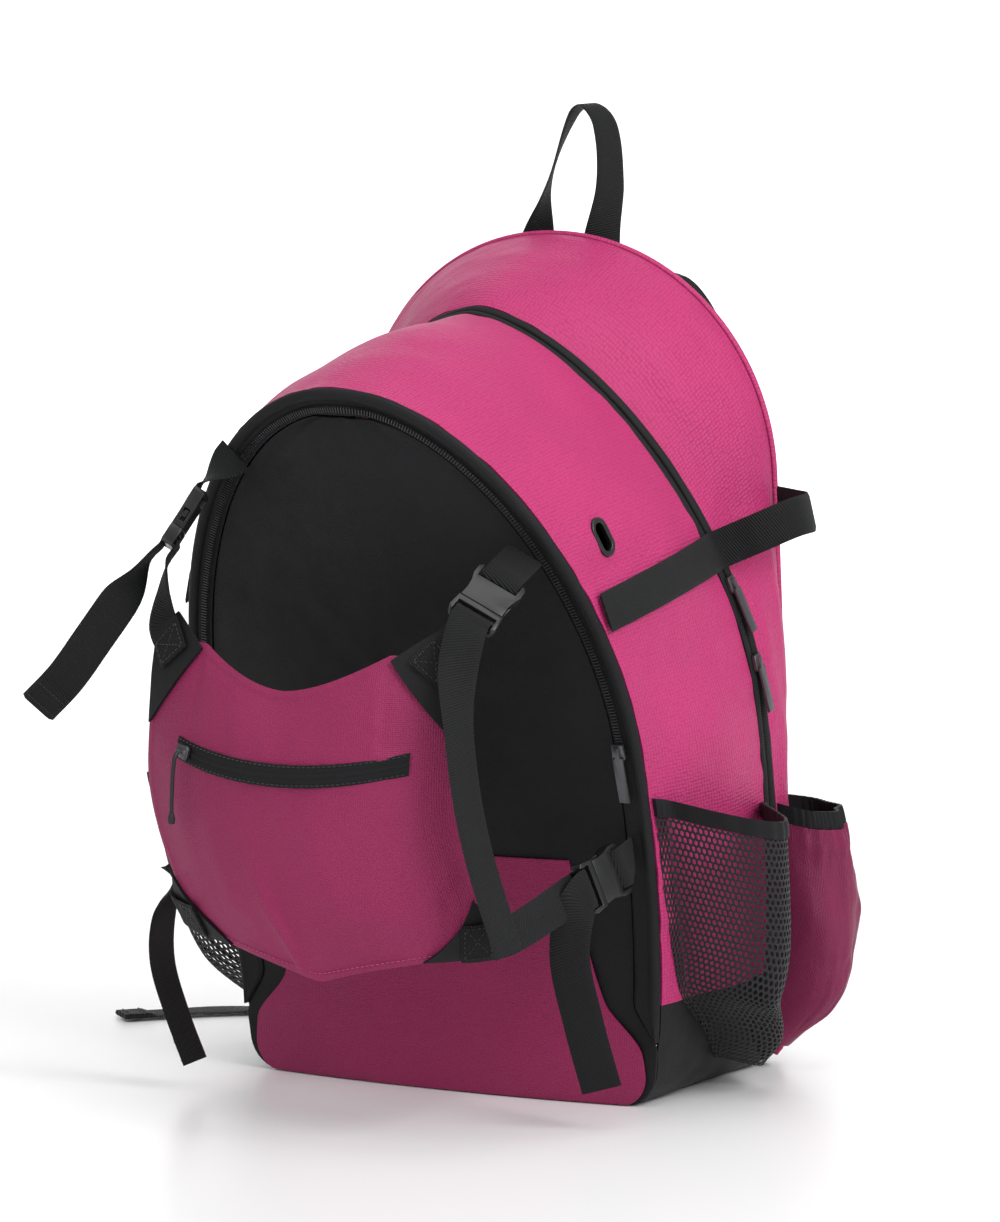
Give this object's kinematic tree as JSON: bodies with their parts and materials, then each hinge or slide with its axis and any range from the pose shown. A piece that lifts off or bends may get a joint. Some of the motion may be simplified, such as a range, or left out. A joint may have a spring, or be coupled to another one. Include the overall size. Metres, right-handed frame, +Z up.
{
  "type": "bat backpack",
  "caption": "Backpack with zipped compartments, side sleeves and straps for bats, mesh bottle pockets, and a strapped helmet flap on its front.",
  "frame": {"origin": "centre of the outline on the floor under the standing bag", "axes": "+Z up, -Y out of the front face with the helmet flap, +X to the bag's side that shows in the picture"},
  "size_m": [0.5562, 0.451, 0.6199],
  "materials": {
    "pink_ripstop": "pink ripstop nylon",
    "black_cloth": "black nylon cloth",
    "padding_cloth": "padded black cloth",
    "mesh": "dark net cloth",
    "trim": "black zip tape",
    "webbing": "ribbed black webbing",
    "plastic": "moulded black plastic",
    "slider_metal": "dark coated metal",
    "pull": "black pull cord"
  },
  "bodies": {
    "root": {"front_gusset": "pink_ripstop", "rear_gusset": "pink_ripstop", "eyelet": "plastic", "main_zip": "trim", "front_zip": "trim", "base": "black_cloth", "front_panel": "black_cloth", "lower_front_panel": "pink_ripstop", "back_piping": "pink_ripstop", "back_panel": "padding_cloth", "bottle_pocket_right": "mesh", "bottle_pocket_hem_right": "black_cloth", "bottle_pocket_left": "mesh", "bottle_pocket_hem_left": "black_cloth", "bat_sleeve_right": "pink_ripstop", "bat_sleeve_hem_right": "black_cloth", "bat_sleeve_left": "pink_ripstop", "bat_sleeve_hem_left": "black_cloth", "bat_strap_right": "webbing", "bat_strap_left": "webbing", "helmet_flap": "pink_ripstop", "flap_corner_right": "black_cloth", "flap_corner_left": "black_cloth", "flap_foot_corner_right": "black_cloth", "flap_foot_corner_left": "black_cloth", "flap_zip": "trim", "flap_zip_slider": "slider_metal", "flap_zip_cord": "pull", "flap_zip_cord_end": "pull", "upper_right_buckle_socket": "plastic", "upper_right_buckle_plug": "plastic", "upper_right_strap": "webbing", "upper_right_anchor": "webbing", "upper_left_buckle_socket": "plastic", "upper_left_buckle_plug": "plastic", "upper_left_strap": "webbing", "upper_left_anchor": "webbing", "lower_right_buckle_socket": "plastic", "lower_right_buckle_plug": "plastic", "lower_right_strap": "webbing", "lower_right_anchor": "webbing", "lower_left_buckle_socket": "plastic", "lower_left_buckle_plug": "plastic", "lower_left_strap": "webbing", "lower_left_anchor": "webbing", "grab_handle": "webbing", "shoulder_strap_right": "padding_cloth", "shoulder_strap_left": "padding_cloth", "strap_adjuster_right": "plastic", "strap_tab_right": "webbing", "shoulder_webbing_right": "webbing", "strap_adjuster_left": "plastic", "strap_tab_left": "webbing", "shoulder_webbing_left": "webbing", "main_zip_slider_upper": "slider_metal", "main_zip_slider_lower": "slider_metal", "front_zip_slider": "slider_metal"}
  },
  "joints": []
}
